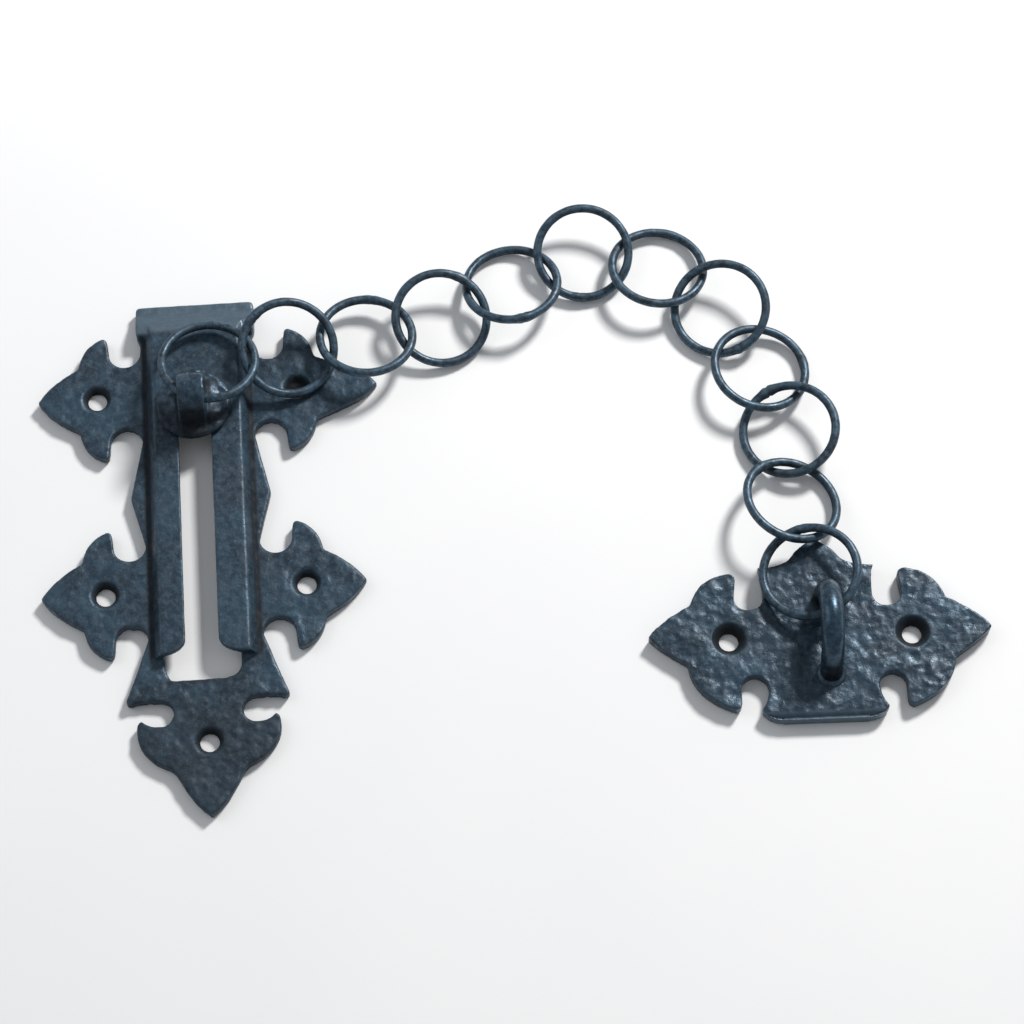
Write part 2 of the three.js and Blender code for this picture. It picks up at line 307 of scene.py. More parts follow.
def cast_skin(obj, grain, softening):
    """Gives a solid one even skin of small faces, with its edges softened as in a sand casting."""
    skin = obj.modifiers.new("Skin", "REMESH")
    skin.mode = "VOXEL"
    skin.voxel_size = grain
    soft = obj.modifiers.new("Soften", "SMOOTH")
    soft.factor = 0.5
    soft.iterations = softening
    bpy.context.view_layer.update()
    return made_real(obj)


def waves(place, size, seed):
    """Soft noise between -1 and 1, with waves about as long as size."""
    return noise.noise(place / size + Vector((seed, seed * 1.7, seed * 0.6)))


def dents(place, size, seed):
    """Shallow bowls side by side, as hammer blows leave them: 0 in a bowl's middle, 1 on a ridge."""
    near = noise.voronoi(place / size + Vector((seed, seed * 0.3, seed * 1.9)))[0]
    return min(1.0, near[0] / max(near[1], 1e-6)) ** 2


def worked(obj, depth_at, floor=0.0):
    """Moves each point of the skin along its normal by depth_at(place, normal), none below floor."""
    mesh = obj.data
    normals = [v.normal.copy() for v in mesh.vertices]
    for vertex, normal in zip(mesh.vertices, normals):
        place = vertex.co.copy()
        moved = place + normal * depth_at(place, normal)
        moved.z = max(moved.z, floor)
        vertex.co = moved
    return obj


def marked(obj, mark, share_at):
    """Stores a share from 0 to 1 at each point of the skin, for the finish to read."""
    layer = obj.data.attributes.new(mark, "FLOAT", "POINT")
    values = [min(1.0, max(0.0, share_at(v.co))) for v in obj.data.vertices]
    layer.data.foreach_set("value", values)
    return obj


def hole_gap(place, holes):
    """Distance from the middle of the nearest screw hole."""
    return min(math.hypot(place.x - x, place.y - y) for x, y in holes)


def settled(obj, place, body, node, material):
    """Puts a piece in the frame in metres, and gives it its finish, body and CAD node."""
    obj.data.transform(Matrix.Scale(MM, 4) @ place)
    obj.name = node + "_finish"
    obj.data.name = obj.name
    obj.data.materials.clear()
    obj.data.materials.append(material)
    for face in obj.data.polygons:
        face.use_smooth = True
    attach(obj, body)
    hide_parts(node)
    return obj


def track_place():
    """From the track plate's own datum to the frame, in millimetres."""
    low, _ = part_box("track_plate")
    return Matrix.Translation((low.x / MM + LOBE_REACH, low.y / MM, 0))


def keeper_place():
    """From the keeper plate's own datum to the frame, in millimetres, by way of the staple."""
    low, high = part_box("staple")
    middle = (low + high) / 2 / MM
    turn = Matrix.Rotation(KEEPER_TURN, 4, "Z")
    offset = turn @ Vector((*STAPLE_AT, 0))
    return Matrix.Translation((middle.x - offset.x, middle.y - offset.y, 0)) @ turn


# --- track plate --------------------------------------------------------------


def half_lobe(reach):
    """Upper half of a side lobe: round the notch, over the barb and out to the tip."""
    half = Outline(WAIST, 13.2).arc(18.9, 13.2, 4.1, 180, 360).line(23.3, 16.6)
    half.bend(23.5, 17.8, 24.8, 17.7).bend(30.4, 15.6, 31.2, 9.2)
    half.curve(34.2, 7.6, reach - 3.2, 5, reach, 0)
    return half.strokes


def track_side(upper_reach):
    """Right side of the plate, from its top middle down to the bottom tip."""
    side = Outline(0, TRACK_TOP).line(TRACK_HALF_WIDTH - 1.5, TRACK_TOP)
    side.bend(TRACK_HALF_WIDTH, TRACK_TOP, TRACK_HALF_WIDTH, TRACK_TOP - 1.5)
    side.line(TRACK_HALF_WIDTH, TRACK_TOP - 8.2)
    side.bend(TRACK_HALF_WIDTH - 0.2, TRACK_TOP - 10, WAIST - 0.1, TRACK_TOP - 10.8)
    for centre, reach in ((UPPER_LOBE_Y, upper_reach), (LOWER_LOBE_Y, LOBE_REACH)):
        half = half_lobe(reach)
        side.follow(mirrored(half, up=centre))
        side.follow(mirrored(half, across_y=True, up=centre))
        if centre == UPPER_LOBE_Y:
            side.line(*SIDE_POINT)
    side.line(16.6, 43.5).bend(18, 39, 20.9, 31.8).line(20.2, 30.6)
    side.bend(16, 31.8, 12.2, 31.2).arc(12.2, 27.9, 3.3, 90, 270)
    side.bend(15.4, 24.6, 16.9, 26.4).bend(18, 26.4, 18.3, 24.6)
    side.bend(19, 16.4, 9.6, 12.6).curve(7.2, 10, 5.6, 3.6, 0, 0)
    return side.strokes


def channel_block(face):
    """Raised channel with sloped sides and a sloped upper end."""
    section = [
        (-CHANNEL_BASE_HALF, 0), (-CHANNEL_BASE_HALF, CHANNEL_FOOT_Z), (-CHANNEL_FACE_HALF, face),
        (CHANNEL_FACE_HALF, face), (CHANNEL_BASE_HALF, CHANNEL_FOOT_Z), (CHANNEL_BASE_HALF, 0),
    ]
    bm = bmesh.new()
    end = bm.faces.new([bm.verts.new((x, CHANNEL_BOTTOM_Y, z)) for x, z in section])
    grown = bmesh.ops.extrude_face_region(bm, geom=[end])["geom"]
    far = [v for v in grown if isinstance(v, bmesh.types.BMVert)]
    bmesh.ops.translate(bm, verts=far, vec=(0, CHANNEL_TOP_Y - CHANNEL_BOTTOM_Y, 0))
    rise = (face - SLOPE_FOOT_Z) / (CHANNEL_TOP_Y - CHANNEL_SLOPE_Y)
    cut = bmesh.ops.bisect_plane(
        bm, geom=bm.verts[:] + bm.edges[:] + bm.faces[:], plane_co=(0, CHANNEL_SLOPE_Y, face),
        plane_no=(0, rise, 1), clear_outer=True,
    )["geom_cut"]
    bmesh.ops.edgeloop_fill(bm, edges=[e for e in cut if isinstance(e, bmesh.types.BMEdge)])
    bmesh.ops.recalc_face_normals(bm, faces=bm.faces)
    upper = [e for e in bm.edges if min(v.co.z for v in e.verts) > 5 and len(e.link_faces) == 2]
    bmesh.ops.bevel(
        bm, geom=upper, offset=0.7, offset_type="OFFSET", segments=3, profile=0.5,
        affect="EDGES", material=-1, clamp_overlap=True,
    )
    return solid("channel", bm)


def end_wedge(face):
    """Shoulders beside the channel's sloped end, so that the slope runs right across the plate."""
    rise = (face - SLOPE_FOOT_Z) / (CHANNEL_TOP_Y - CHANNEL_SLOPE_Y)
    crest = CHANNEL_SLOPE_Y + (face - SHOULDER_TOP) / rise
    profile = [
        (SHOULDER_START, 1), (SHOULDER_START, SHOULDER_TOP - 0.5), (SHOULDER_START + 0.8, SHOULDER_TOP),
        (crest, SHOULDER_TOP), (CHANNEL_TOP_Y, SLOPE_FOOT_Z), (CHANNEL_TOP_Y, 1),
    ]
    bm = bmesh.new()
    end = bm.faces.new([bm.verts.new((-TRACK_HALF_WIDTH - 0.4, y, z)) for y, z in profile])
    grown = bmesh.ops.extrude_face_region(bm, geom=[end])["geom"]
    far = [v for v in grown if isinstance(v, bmesh.types.BMVert)]
    bmesh.ops.translate(bm, verts=far, vec=(2 * TRACK_HALF_WIDTH + 0.3, 0, 0))
    bmesh.ops.recalc_face_normals(bm, faces=bm.faces)
    return solid("shoulders", bm)


def channel_hollow():
    """Space for the stud's head, running down into the entry opening."""
    left, right = SLOT_X - HOLLOW_HALF, SLOT_X + HOLLOW_HALF
    loop = Outline(SLOT_X, HOLLOW_TOP_Y).line(right, HOLLOW_TOP_Y)
    loop.line(right, ENTRY_END_Y + 4.3).bend(right, ENTRY_END_Y + 0.3, SLOT_X + 5.6, ENTRY_END_Y)
    loop.line(SLOT_X - 8.3, ENTRY_END_Y - 0.2).line(left, ENTRY_END_Y + 2.5)
    loop.line(left, HOLLOW_TOP_Y).line(SLOT_X, HOLLOW_TOP_Y)
    return drawn_solid("hollow", [loop.strokes], -1, HOLLOW_ROOF)


def channel_slot(face):
    """Slot through the face, round at its top and flared at its open mouth."""
    side = Outline(9.2, CHANNEL_BOTTOM_Y - 1).line(9.2, CHANNEL_BOTTOM_Y)
    side.bend(SLOT_HALF + 0.6, CHANNEL_BOTTOM_Y + 1.1, SLOT_HALF, 46.2)
    side.arc(0, SLOT_TOP_Y, SLOT_HALF, 0, 90)
    loop = Outline(0, CHANNEL_BOTTOM_Y - 1).follow(side.strokes)
    loop.follow(mirrored(side.strokes, across_x=True)).line(0, CHANNEL_BOTTOM_Y - 1)
    slot = drawn_solid("slot", [loop.strokes], HOLLOW_ROOF - 1, face + 1)
    slot.data.transform(Matrix.Translation((SLOT_X, 0, 0)))
    return slot


def smooth_step(low, high, value):
    """Goes smoothly from 0 at low to 1 at high, either way round."""
    t = min(1.0, max(0.0, (value - low) / (high - low)))
    return t * t * (3 - 2 * t)


def build_track_plate(sizes, material):
    """The slotted casting, with its channel, holes, cast texture and painted shade."""
    thickness, face = sizes.track_thickness / MM, sizes.channel_face / MM
    right = track_side(LONG_LOBE_REACH)
    left = mirrored(track_side(LOBE_REACH), across_x=True)
    outline = Outline(0, TRACK_TOP).follow(right).follow(left).strokes
    plate = drawn_solid("plate", [outline], 0, thickness)
    plate = combined(plate, channel_block(face), "UNION")
    edge = drawn_solid("edge", [outline], 0, face)
    plate = combined(plate, combined(end_wedge(face), edge, "INTERSECT"), "UNION")
    nub = turned_solid("nub", [(0, 0), (1.2, 0), (1.2, 2.5), (0.7, 2.9), (0, 2.9)], CAST_NUB)
    plate = combined(plate, nub, "UNION")
    plate = combined(plate, channel_hollow(), "DIFFERENCE")
    plate = combined(plate, channel_slot(face), "DIFFERENCE")
    for hole in TRACK_HOLES:
        bottom = BLIND_WEB if hole == BLIND_HOLE else -2.0
        cutter = screw_cutter("screw_hole", hole, thickness, bottom)
        plate = combined(plate, cutter, "DIFFERENCE")
    plate = cast_skin(plate, sizes.plate_grain / MM, 4)

    # The skin is uneven all over, hammered on the lobes and the tail, and dished on the lobes.
    def surface(place, normal):
        front = smooth_step(0.2, 0.9, normal.z)
        tail = 1 - smooth_step(34, 44, place.y)
        lobes = smooth_step(17, 21, abs(place.x))
        off_channel = 1 - smooth_step(3.2, 3.8, place.z)
        clear = smooth_step(3.8, 5.4, hole_gap(place, TRACK_HOLES))
        hammer = (0.3 + 0.7 * max(tail, 0.45 * lobes)) * off_channel
        depth = 0.04 * waves(place, 1.6, 3.1) + 0.06 * waves(place, 5.5, 8.2)
        depth += front * hammer * (0.3 * waves(place, 2.6, 5.4) + 0.14 * waves(place, 1.3, 1.2))
        depth += front * lobes * off_channel * 0.3 * waves(place, 7, 2.3)
        return (depth - 0.03) * clear - 0.06

    # Painted shade sits in the holes, along the channel's feet, round the entry opening and inside, and
    # the tail is darker towards its bottom.
    def shade_and_grime(place):
        sunk = 1 - smooth_step(2.5, 4.0, hole_gap(place, TRACK_HOLES))
        along = smooth_step(41, 44, place.y) * (1 - smooth_step(133, 137, place.y))
        foot = 1 - smooth_step(0.3, 1.5, abs(abs(place.x) - CHANNEL_BASE_HALF - 0.3))
        low = 1 - smooth_step(3.4, 4.4, place.z)
        mouth = 1 - smooth_step(0.4, 1.6, abs(place.y - ENTRY_END_Y + 0.5) if abs(place.x) < 10 else 9)
        inside = 1 - smooth_step(0.2, 1.6, place.z)
        tail = 0.32 * (1 - smooth_step(26, 40, place.y))
        return max(0.95 * sunk, 0.8 * foot * low * along, 0.5 * mouth, 0.35 * inside, tail)

    marked(worked(plate, surface), "shade_and_grime", shade_and_grime)
    # Painted light over the top end, from the foot of the channel's slope upward.
    marked(plate, "painted_slope_light", lambda place: 0.75 * smooth_step(133.6, 135.4, place.y))
    return settled(plate, track_place(), "track", "track_plate", material)


# --- sliding stud -------------------------------------------------------------


def build_slider_stud(sizes, material):
    """Head, neck, flange and upright eye as one forged skin."""
    lug_half = sizes.eye_thickness / MM / 2
    bm = bmesh.new()
    bmesh.ops.create_cube(bm, size=1)
    bmesh.ops.scale(bm, verts=bm.verts, vec=STUD_HEAD)
    bmesh.ops.translate(bm, verts=bm.verts, vec=(0, 0, STUD_HEAD_Z))
    bmesh.ops.bevel(
        bm, geom=bm.edges[:], offset=0.7, offset_type="OFFSET", segments=2, profile=0.5,
        affect="EDGES", material=-1,
    )
    head = solid("head", bm)
    flange = turned_solid("flange", FLANGE_PROFILE, steps=56)
    lug = Outline(-6.6, 8).bend(-5.9, 10.5, -EYE_RADIUS, EYE_Z).arc(0, EYE_Z, EYE_RADIUS, 180, 0)
    lug.bend(5.9, 10.5, 6.6, 8).line(-6.6, 8)
    bore = circle(0, EYE_Z, EYE_BORE)
    eye = drawn_solid("eye", [lug.strokes, bore], -lug_half, lug_half, EYE_ROUNDING)
    stand = Matrix(((0, 0, 1, 0), (1, 0, 0, 0), (0, 1, 0, 0), (0, 0, 0, 1)))
    eye.data.transform(stand)
    stud = cast_skin(joined("stud", [head, flange, eye]), sizes.stud_grain / MM, 3)

    def surface(place, normal):
        depth = 0.06 * waves(place, 2.2, 4.4) + 0.03 * waves(place, 0.9, 7.7)
        clear = smooth_step(EYE_BORE, EYE_BORE + 1.6, math.hypot(place.y, place.z - EYE_Z))
        top = smooth_step(0.2, 0.8, normal.z) * (1 - smooth_step(9.6, 10.6, place.z))
        lumps = top * 0.34 * waves(place, 2.4, 6.1)
        return (depth + 0.12 * waves(place, 3.4, 2.2) + lumps - 0.06) * clear

    # Painted shade sits down the eye's front, in its bore, beside its foot, under the flange and over
    # the flange's front half.
    def shade_and_grime(place):
        front = smooth_step(-1.6, -4.2, place.y) * (1 - smooth_step(2.8, 3.8, abs(place.x)))
        shank = front * (1 - smooth_step(14.5, 17.5, place.z))
        foot = 1 - smooth_step(9.2, 10.6, place.z)
        near = 1 - smooth_step(0.2, 1.4, abs(abs(place.x) - lug_half - 0.4))
        from_bore = math.hypot(place.y, place.z - EYE_Z) - EYE_BORE
        bore = 1 - smooth_step(-0.2, 0.6, from_bore)
        under = 1 - smooth_step(6.6, 7.4, place.z)
        side = near * foot * (1 - smooth_step(6.4, 7.2, abs(place.y)))
        rim = 0.55 * foot * smooth_step(2.0, -3.5, place.y)
        return max(0.85 * shank, 0.8 * side, 0.9 * bore, 0.8 * under, rim)

    marked(worked(stud, surface), "shade_and_grime", shade_and_grime)
    place = track_place() @ Matrix.Translation((SLOT_X, STUD_Y, 0))
    return settled(stud, place, "slider", "slider_stud", material)


# --- rings --------------------------------------------------------------------


def ring_place(node):
    """Centre of a ring and its axis, from the CAD node's own points."""
    low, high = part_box(node)
    points = np.array([v.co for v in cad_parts[node].data.vertices], float)
    middle = np.array((low + high) / 2)
    _, vectors = np.linalg.eigh((points - middle).T @ (points - middle))
    axis = Vector(vectors[:, 0])
    if axis.z < 0:
        axis.negate()
    turn = Vector((0, 0, 1)).rotation_difference(axis).to_matrix().to_4x4()
    return Matrix.Translation(Vector(middle) / MM) @ turn


def build_ring(number, sizes, material):
    """One wire ring with the lump where it was closed."""
    radius, wire = sizes.ring_radius / MM, sizes.wire_radius / MM
    angle, proud = RING_CLOSURES[number - 1]
    bm = bmesh.new()
    quarter = Matrix.Rotation(math.pi / 2, 4, "X")
    section = bmesh.ops.create_circle(bm, segments=16, radius=wire, matrix=quarter)["verts"]
    bmesh.ops.translate(bm, verts=section, vec=(radius, 0, 0))
    bmesh.ops.spin(
        bm, geom=bm.verts[:] + bm.edges[:], cent=(0, 0, 0), axis=(0, 0, 1),
        angle=math.tau, steps=132, use_merge=True,
    )
    ring = solid("ring", bm)
    closure = math.radians(angle)

    # The lump is split down its middle, where the wire's two ends meet.
    def surface(place, _):
        turn = math.atan2(place.y, place.x) - closure
        off = math.degrees(math.atan2(math.sin(turn), math.cos(turn)))
        lump = math.exp(-((off / 8) ** 2)) - 0.75 * math.exp(-((off / 1.8) ** 2))
        uneven = 0.05 * waves(place, 7, number * 3.3) + 0.035 * waves(place, 1.5, number * 1.3)
        return proud * lump + uneven - 0.06

    # Painted shade on the inner side of the wire, and darker blotches at random.
    def shade_and_grime(place):
        inner = 1 - smooth_step(radius - wire, radius - 0.3 * wire, math.hypot(place.x, place.y))
        return 0.4 * inner + 0.25 * smooth_step(0.1, 0.5, waves(place, 5, number * 2.1))

    marked(worked(ring, surface, floor=-50), "shade_and_grime", shade_and_grime)
    node = f"ring_{number:02d}"
    return settled(ring, ring_place(node), node, node, material)


# --- keeper plate and staple --------------------------------------------------


def keeper_side():
    """Right side of the keeper plate, from the leaf tip down to the middle of the bottom edge."""
    side = Outline(0, 28.2).bend(4.2, 26.6, 6.6, 22.8).bend(9.6, 20.6, 15.2, 20.6)
    side.bend(14.2, 19.4, 14.2, 15).line(14.2, 12.4).arc(17.8, 12.4, 3.6, 180, 360)
    side.line(20.8, 17.2).bend(20.6, 19, 22.4, 19.4).bend(30.8, 18.6, 33, 10.8)
    side.curve(36.6, 8.8, 41.2, 5, 44.2, 1.2).curve(41.6, -2, 37.6, -4.4, 34.4, -6.6)
    side.bend(33.6, -15.4, 23, -19.4).bend(21.2, -19.6, 21, -17.4).line(21, -13.8)
    side.arc(17.6, -13.8, 3.4, 0, 180).bend(14.4, -17.4, 16.4, -19.6)
    side.bend(14.4, -22.8, 10.6, -22.8).line(0, -22.8)
    return side.strokes


def build_keeper_plate(sizes, material):
    """The hammered casting, with its sloped lower edge, painted light along that edge, and painted
    shade in its holes and round the staple's rear foot.
    """
    thickness = sizes.keeper_thickness / MM
    rod, span = sizes.staple_rod / MM, sizes.staple_span / MM
    right = keeper_side()
    outline = Outline(0, 28.2).follow(right).follow(mirrored(right, across_x=True)).strokes
    plate = drawn_solid("keeper", [outline], 0, thickness)
    for vertex in plate.data.vertices:
        vertex.co.y -= KEEPER_DROP * smooth_step(2, 12, vertex.co.y)
    for hole in KEEPER_HOLES:
        cutter = screw_cutter("screw_hole", hole, thickness, bore=2.35, sink=4.4, depth=2.3)
        plate = combined(plate, cutter, "DIFFERENCE")
    plate = cast_skin(plate, sizes.keeper_grain / MM, 4)
    blow = sizes.hammer_depth / MM

    # Only the front is hammered, and it slopes down along the lower edge.
    def surface(place, normal):
        front = smooth_step(0.25, 0.9, normal.z)
        edge = min(1.0, max(0.0, (-20.8 - place.y) / 2.0)) if abs(place.x) < 17.5 else 0.0
        slope = -1.9 * edge * smooth_step(1.0, thickness, place.z)
        clear = smooth_step(4.4, 6.2, hole_gap(place, KEEPER_HOLES))
        swirl = Vector((waves(place, 4, 9.1), waves(place, 4, 2.7), 0)) * 0.9
        hammer = 0.4 * (dents(place + swirl, 3.6, 4.0) - 0.45)
        hammer += 0.85 * waves(place, 2.4, 6.5) + 0.25 * waves(place, 1.2, 3.5)
        dished = 0.9 * waves(place, 8, 1.5)
        return front * (blow * (hammer + dished) * (1 - 0.6 * edge) * clear + slope) - 0.12

    # Painted shade in the screw holes and round the staple's rear foot.
    def shade_and_grime(place):
        sunk = 1 - smooth_step(3.0, 5.2, hole_gap(place, KEEPER_HOLES))
        x, y = place.x - STAPLE_AT[0], place.y - STAPLE_AT[1]
        foot = 0.8 * (1 - smooth_step(rod + 0.1, rod + 1.8, math.hypot(x, y - span)))
        return max(0.95 * sunk, foot)

    marked(worked(plate, surface), "shade_and_grime", shade_and_grime)
    # Painted light along the sloped lower edge.
    marked(plate, "painted_slope_light", lambda place: 0.7 * smooth_step(-20.1, -20.9, place.y))
    return settled(plate, keeper_place(), "keeper", "keeper_plate", material)


def build_staple(sizes, material):
    """A rod bent over in a half circle, with its front foot set outwards in a weld."""
    rod, span = sizes.staple_rod / MM, sizes.staple_span / MM
    bm = bmesh.new()
    start = Matrix.Translation((0, -span, STAPLE_FOOT))
    bmesh.ops.create_circle(bm, cap_ends=True, segments=32, radius=rod, matrix=start)

    def grown(face, vec):
        geom = bmesh.ops.extrude_face_region(bm, geom=[face])["geom"]
        bmesh.ops.translate(
            bm, verts=[v for v in geom if isinstance(v, bmesh.types.BMVert)], vec=vec
        )
        return next(f for f in geom if isinstance(f, bmesh.types.BMFace))

    top = grown(bm.faces[:][0], (0, 0, 1.4))
    for _ in range(3):
        top = grown(top, (0, 0, (STAPLE_SPRING - STAPLE_FOOT - 1.4) / 3))
    turned = bmesh.ops.spin(
        bm, geom=[top], cent=(0, 0, STAPLE_SPRING), axis=(-1, 0, 0), angle=math.pi, steps=44
    )["geom_last"]
    bottom = next(f for f in turned if isinstance(f, bmesh.types.BMFace))
    for _ in range(4):
        bottom = grown(bottom, (0, 0, -(STAPLE_SPRING - STAPLE_FOOT) / 4))
    for vertex in bm.verts:
        if vertex.co.y < 0:
            vertex.co.y -= STAPLE_FLARE * smooth_step(9.0, 3.0, vertex.co.z)
    weld = turned_solid(
        "weld",
        [(0, 2), (rod + 0.9, 2), (rod + 1.0, 3.1), (rod + 0.6, 3.9), (rod - 0.1, 4.3), (0, 4.4)],
        (0, -span - STAPLE_FLARE),
    )
    staple = joined("staple", [solid("rod", bm), weld])

    def surface(place, _):
        return 0.05 * waves(place, 4.5, 5.1) + 0.02 * waves(place, 1.4, 8.8) - 0.02

    # Painted shade inside the bend and down the middle of the front leg.
    def shade_and_grime(place):
        inner = 1 - smooth_step(span - rod, span - 0.2 * rod, math.hypot(place.y, place.z - 6))
        band = smooth_step(4.0, 5.0, place.z) * smooth_step(11.0, 8.5, place.z)
        middle = smooth_step(0.85 * rod, 0.4 * rod, abs(place.x))
        front = smooth_step(-span, -span - 1.2, place.y) * middle
        return max(0.5 * inner, 0.9 * front * band)

    marked(worked(staple, surface), "shade_and_grime", shade_and_grime)
    place = keeper_place() @ Matrix.Translation((*STAPLE_AT, 0))
    return settled(staple, place, "keeper", "staple", material)


# --- finishes -----------------------------------------------------------------


class Finish:
    """A node material under construction, with a few shorthands for the nodes it repeats."""

    def __init__(self, name):
        self.material = bpy.data.materials.new(name)
        self.material.use_nodes = True
        self.tree = self.material.node_tree
        self.shader = self.tree.nodes["Principled BSDF"]
        self.place = self.tree.nodes.new("ShaderNodeTexCoord").outputs["Object"]

    def link(self, a, b):
        """Joins an output to an input."""
        self.tree.links.new(a, b)

    def noise(self, scale, detail=4.0, roughness=0.55, offset=0.0):
        """Noise over the piece's own place, from 0 to 1."""
        mapping = self.tree.nodes.new("ShaderNodeMapping")
        mapping.inputs["Location"].default_value = (offset, offset * 0.7, offset * 0.4)
        self.link(self.place, mapping.inputs["Vector"])
        node = self.tree.nodes.new("ShaderNodeTexNoise")
        node.inputs["Scale"].default_value = scale
        node.inputs["Detail"].default_value = detail
        node.inputs["Roughness"].default_value = roughness
        self.link(mapping.outputs["Vector"], node.inputs["Vector"])
        return node.outputs["Fac"]

    def mark(self, name):
        """A share stored at the points of the skin."""
        node = self.tree.nodes.new("ShaderNodeAttribute")
        node.attribute_name = name
        return node.outputs["Fac"]

    def spread(self, value, low, high, to_low=0.0, to_high=1.0):
        """Stretches a value's band from low to high smoothly over another."""
        node = self.tree.nodes.new("ShaderNodeMapRange")
        node.interpolation_type = "SMOOTHSTEP"
        for name, number in (
            ("From Min", low), ("From Max", high), ("To Min", to_low), ("To Max", to_high)
        ):
            node.inputs[name].default_value = number
        self.link(value, node.inputs["Value"])
        return node.outputs["Result"]

    def mix(self, share, a, b):
        """Goes from one colour to another as the share goes from 0 to 1."""
        node = self.tree.nodes.new("ShaderNodeMix")
        node.data_type = "RGBA"
        self.link(share, node.inputs[0])
        for socket, value in ((node.inputs[6], a), (node.inputs[7], b)):
            if hasattr(value, "is_linked"):
                self.link(value, socket)
            else:
                socket.default_value = (*value, 1)
        return node.outputs[2]

    def total(self, a, b, operation="ADD"):
        """Adds or multiplies two values."""
        node = self.tree.nodes.new("ShaderNodeMath")
        node.operation = operation
        self.link(a, node.inputs[0])
        if hasattr(b, "is_linked"):
            self.link(b, node.inputs[1])
        else:
            node.inputs[1].default_value = b
        return node.outputs[0]

    def bump(self, height, distance, strength, under=None):
        """A normal bumped by a height, over another bump if one is given."""
        node = self.tree.nodes.new("ShaderNodeBump")
        node.inputs["Distance"].default_value = distance
        node.inputs["Strength"].default_value = strength
        self.link(height, node.inputs["Height"])
        if under is not None:
            self.link(under, node.inputs["Normal"])
        return node.outputs["Normal"]


def iron_finish(name, colours, gloss, metallic, wear_and_highlight, grain, bright=0.6):
    """Blued black iron: mottled, with painted shade in its hollows and a painted highlight on its worn
    edges.
    """
    finish = Finish(name)
    patches = finish.spread(finish.noise(70, 3, 0.5, 0.31), 0.36, 0.66)
    speckle = finish.spread(finish.noise(620, 3, 0.6, 0.12), 0.35, 0.68)
    flecks = finish.spread(finish.noise(1500, 2, 0.6, 0.77), 0.6, 0.72)
    colour = finish.mix(patches, colours.iron_dark, colours.iron_mid)
    colour = finish.mix(finish.total(speckle, bright, "MULTIPLY"), colour, colours.iron_light)
    warm = finish.spread(finish.noise(120, 3, 0.5, 1.3), 0.52, 0.7, 0.0, 0.3)
    colour = finish.mix(warm, colour, colours.warm_iron)
    geometry = finish.tree.nodes.new("ShaderNodeNewGeometry").outputs["Pointiness"]
    # Worn edges are lightened, partly as a painted highlight.
    worn_and_lit = finish.spread(geometry, 0.52, 0.62, 0.0, wear_and_highlight)
    broken = finish.total(worn_and_lit, finish.spread(finish.noise(900, 3, 0.6, 0.5), 0.3, 0.6), "MULTIPLY")
    # Hollows are darkened as painted shade.
    hollow = finish.spread(geometry, 0.38, 0.48, 0.8, 0.0)
    colour = finish.mix(finish.total(flecks, 0.35, "MULTIPLY"), colour, colours.fleck)
    colour = finish.mix(hollow, colour, colours.hollow_shade_iron)
    colour = finish.mix(broken, colour, colours.edge_wear_and_highlight)
    # Painted light on the marked sloped faces.
    colour = finish.mix(finish.mark("painted_slope_light"), colour, colours.slope_light_iron)
    # Painted shade, with some random darker patches, where marked.
    shade_and_grime = finish.mark("shade_and_grime")
    colour = finish.mix(shade_and_grime, colour, colours.shade_and_soot)
    finish.link(colour, finish.shader.inputs["Base Color"])
    rough = finish.spread(finish.noise(330, 4, 0.6, 0.9), 0.3, 0.7, gloss - 0.09, gloss + 0.12)
    rough = finish.total(rough, finish.total(shade_and_grime, 0.4, "MULTIPLY"))
    finish.link(rough, finish.shader.inputs["Roughness"])
    finish.shader.inputs["Metallic"].default_value = metallic
    coarse = finish.bump(finish.noise(480, 4, 0.6, 0.2), 0.00035, grain)
    fine = finish.bump(finish.noise(2100, 3, 0.6, 0.6), 0.0001, grain, coarse)
    finish.link(fine, finish.shader.inputs["Normal"])
    return finish.material


# --- stage --------------------------------------------------------------------


def build_floor(colours):
    """A wide pale floor just under the plates' backs."""
    bm = bmesh.new()
    bmesh.ops.create_grid(bm, x_segments=8, y_segments=8, size=3.0)
    bmesh.ops.translate(bm, verts=bm.verts, vec=(0, 0, -0.0002))
    floor = solid("floor", bm)
    paper = Finish("pale_paper")
    tone = paper.mix(paper.spread(paper.noise(9, 3), 0.3, 0.7), colours.floor, colours.floor_shade)
    paper.link(tone, paper.shader.inputs["Base Color"])
    paper.shader.inputs["Roughness"].default_value = 0.9
    floor.data.materials.append(paper.material)


def build_light(name, place, size, energy, colour):
    """A round area light turned to the middle of the floor."""
    data = bpy.data.lights.new(name, "AREA")
    data.shape = "DISK"
    data.size = size
    data.energy = energy
    data.color = colour
    lamp = linked(name, data)
    lamp.location = place
    lamp.rotation_euler = (-Vector(place)).to_track_quat("-Z", "Y").to_euler()


def build_camera(view):
    """A camera looking down at the middle of the CAD box, as far away as the view says."""
    low, high = CAD_BOX
    middle = (Vector(low) + Vector(high)) / 2
    target = Vector((middle.x, middle.y, 0)) + Vector((*view.aim, 0))
    flat = math.cos(view.elevation)
    away = Vector(
        (-flat * math.sin(view.azimuth), -flat * math.cos(view.azimuth), math.sin(view.elevation))
    )
    data = bpy.data.cameras.new("camera")
    data.sensor_width = 36
    data.lens = view.lens
    data.clip_start = 0.01
    camera = linked("camera", data)
    camera.location = target + away * view.distance
    camera.rotation_euler = (-away).to_track_quat("-Z", "Y").to_euler()
    bpy.context.scene.camera = camera


# --- what a user can change ----------------------------------------------------


def length(name, description, value):
    """A length in metres that a user may change."""
    return bpy.props.FloatProperty(
        name=name, description=description, default=value, min=0.0, unit="LENGTH", precision=5
    )


def colour(name, description, value):
    """A colour that a user may change."""
    return bpy.props.FloatVectorProperty(
        name=name, description=description, default=value, size=3, min=0.0, max=1.0,
        subtype="COLOR",
    )


